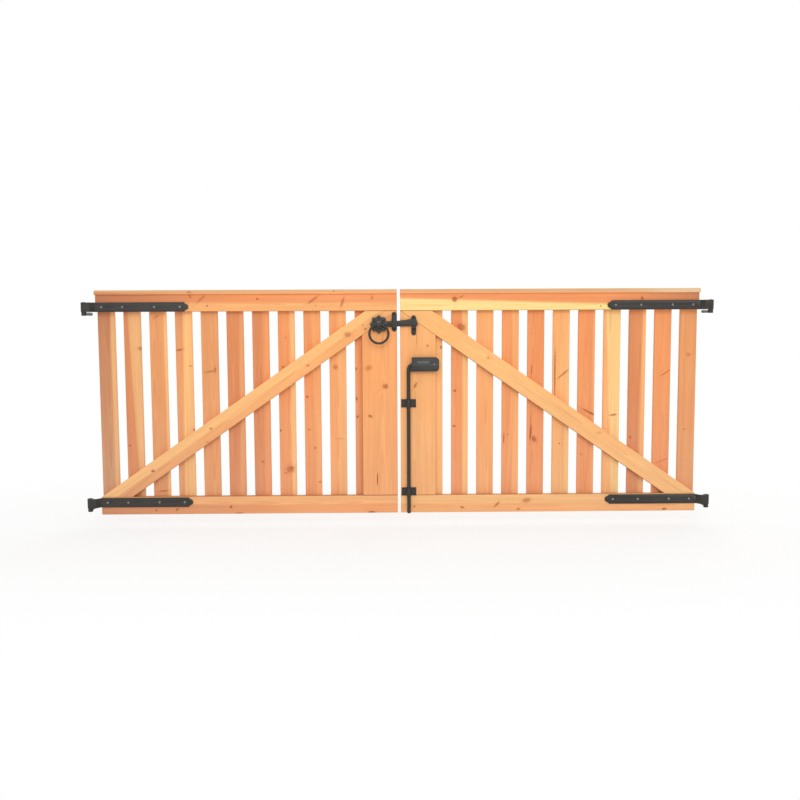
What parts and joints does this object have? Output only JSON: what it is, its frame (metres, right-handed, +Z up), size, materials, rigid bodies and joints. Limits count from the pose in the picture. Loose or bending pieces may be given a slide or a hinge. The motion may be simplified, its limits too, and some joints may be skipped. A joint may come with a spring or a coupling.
{
  "type": "double garden gate",
  "caption": "Double wooden picket gate with diagonal braces, black strap hinges, a ring latch and a drop bolt.",
  "frame": {"origin": "on the ground line under the gate, midway between the two leaves, in the plane where the rails meet the pickets", "axes": "+X along the closed gate, towards the leaf with the drop bolt; +Y from the side with the fittings towards the pickets' back; +Z up"},
  "size_m": [3.132, 0.1528, 1.124],
  "materials": {
    "larch_boards": "satin",
    "black_steel": "satin",
    "zinc_plated_steel": "satin",
    "black_plastic": "matte"
  },
  "bodies": {
    "pintles": {"upper_left_pintle": "black_steel", "lower_left_pintle": "black_steel", "upper_right_pintle": "black_steel", "lower_right_pintle": "black_steel"},
    "left_leaf": {"left_cap": "larch_boards", "left_top_rail": "larch_boards", "left_bottom_rail": "larch_boards", "left_brace": "larch_boards", "left_lock_board": "larch_boards", "left_picket_1": "larch_boards", "left_picket_2": "larch_boards", "left_picket_3": "larch_boards", "left_picket_4": "larch_boards", "left_picket_5": "larch_boards", "left_picket_6": "larch_boards", "left_picket_7": "larch_boards", "left_picket_8": "larch_boards", "left_picket_9": "larch_boards", "left_picket_10": "larch_boards", "left_picket_11": "larch_boards", "left_picket_12": "larch_boards", "upper_left_strap": "black_steel", "lower_left_strap": "black_steel", "left_strap_screws": "zinc_plated_steel", "latch_guide": "black_steel", "rear_rosette": "black_steel", "latch_screws": "black_steel"},
    "right_leaf": {"right_cap": "larch_boards", "right_top_rail": "larch_boards", "right_bottom_rail": "larch_boards", "right_brace": "larch_boards", "right_lock_board": "larch_boards", "right_picket_1": "larch_boards", "right_picket_2": "larch_boards", "right_picket_3": "larch_boards", "right_picket_4": "larch_boards", "right_picket_5": "larch_boards", "right_picket_6": "larch_boards", "right_picket_7": "larch_boards", "right_picket_8": "larch_boards", "right_picket_9": "larch_boards", "right_picket_10": "larch_boards", "right_picket_11": "larch_boards", "right_picket_12": "larch_boards", "upper_right_strap": "black_steel", "lower_right_strap": "black_steel", "right_strap_screws": "zinc_plated_steel", "latch_keep": "black_steel", "upper_bracket": "black_steel", "lower_bracket": "black_steel", "keep_and_bracket_screws": "black_steel"},
    "ring_latch": {"latch_spindle": "zinc_plated_steel", "latch_bar": "black_steel", "front_rosette": "black_steel", "rear_knob": "black_steel"},
    "front_handle": {"front_ring": "black_steel"},
    "rear_handle": {"rear_ring": "black_steel"},
    "drop_bolt": {"drop_rod": "black_steel", "bolt_grip": "black_plastic", "grip_screw": "zinc_plated_steel"}
  },
  "joints": [
    {"name": "left_leaf_swing", "type": "hinge", "parent": "pintles", "child": "left_leaf", "pos_m": [-1.552, -0.04408, 0.55], "axis": [0, 0, -1], "range_deg": [0, 175]},
    {"name": "right_leaf_swing", "type": "hinge", "parent": "pintles", "child": "right_leaf", "pos_m": [1.552, -0.04408, 0.55], "axis": [0, 0, 1], "range_deg": [0, 175]},
    {"name": "latch_lift", "type": "hinge", "parent": "left_leaf", "child": "ring_latch", "pos_m": [-0.098, -0.0412, 0.951], "axis": [0, -1, 0], "range_deg": [-1.5, 11.5]},
    {"name": "front_ring_swing", "type": "hinge", "parent": "ring_latch", "child": "front_handle", "pos_m": [-0.098, -0.0652, 0.951], "axis": [-1, 0, 0], "range_deg": [0, 110]},
    {"name": "rear_ring_swing", "type": "hinge", "parent": "ring_latch", "child": "rear_handle", "pos_m": [-0.098, 0.044, 0.951], "axis": [1, 0, 0], "range_deg": [0, 110]},
    {"name": "bolt_drop", "type": "slide", "parent": "right_leaf", "child": "drop_bolt", "axis": [0, 0, -1], "range_m": [0, 0.135]}
  ],
  "couplings": [
    {"joint": "right_leaf_swing", "follows": "left_leaf_swing", "ratio": 1}
  ]
}
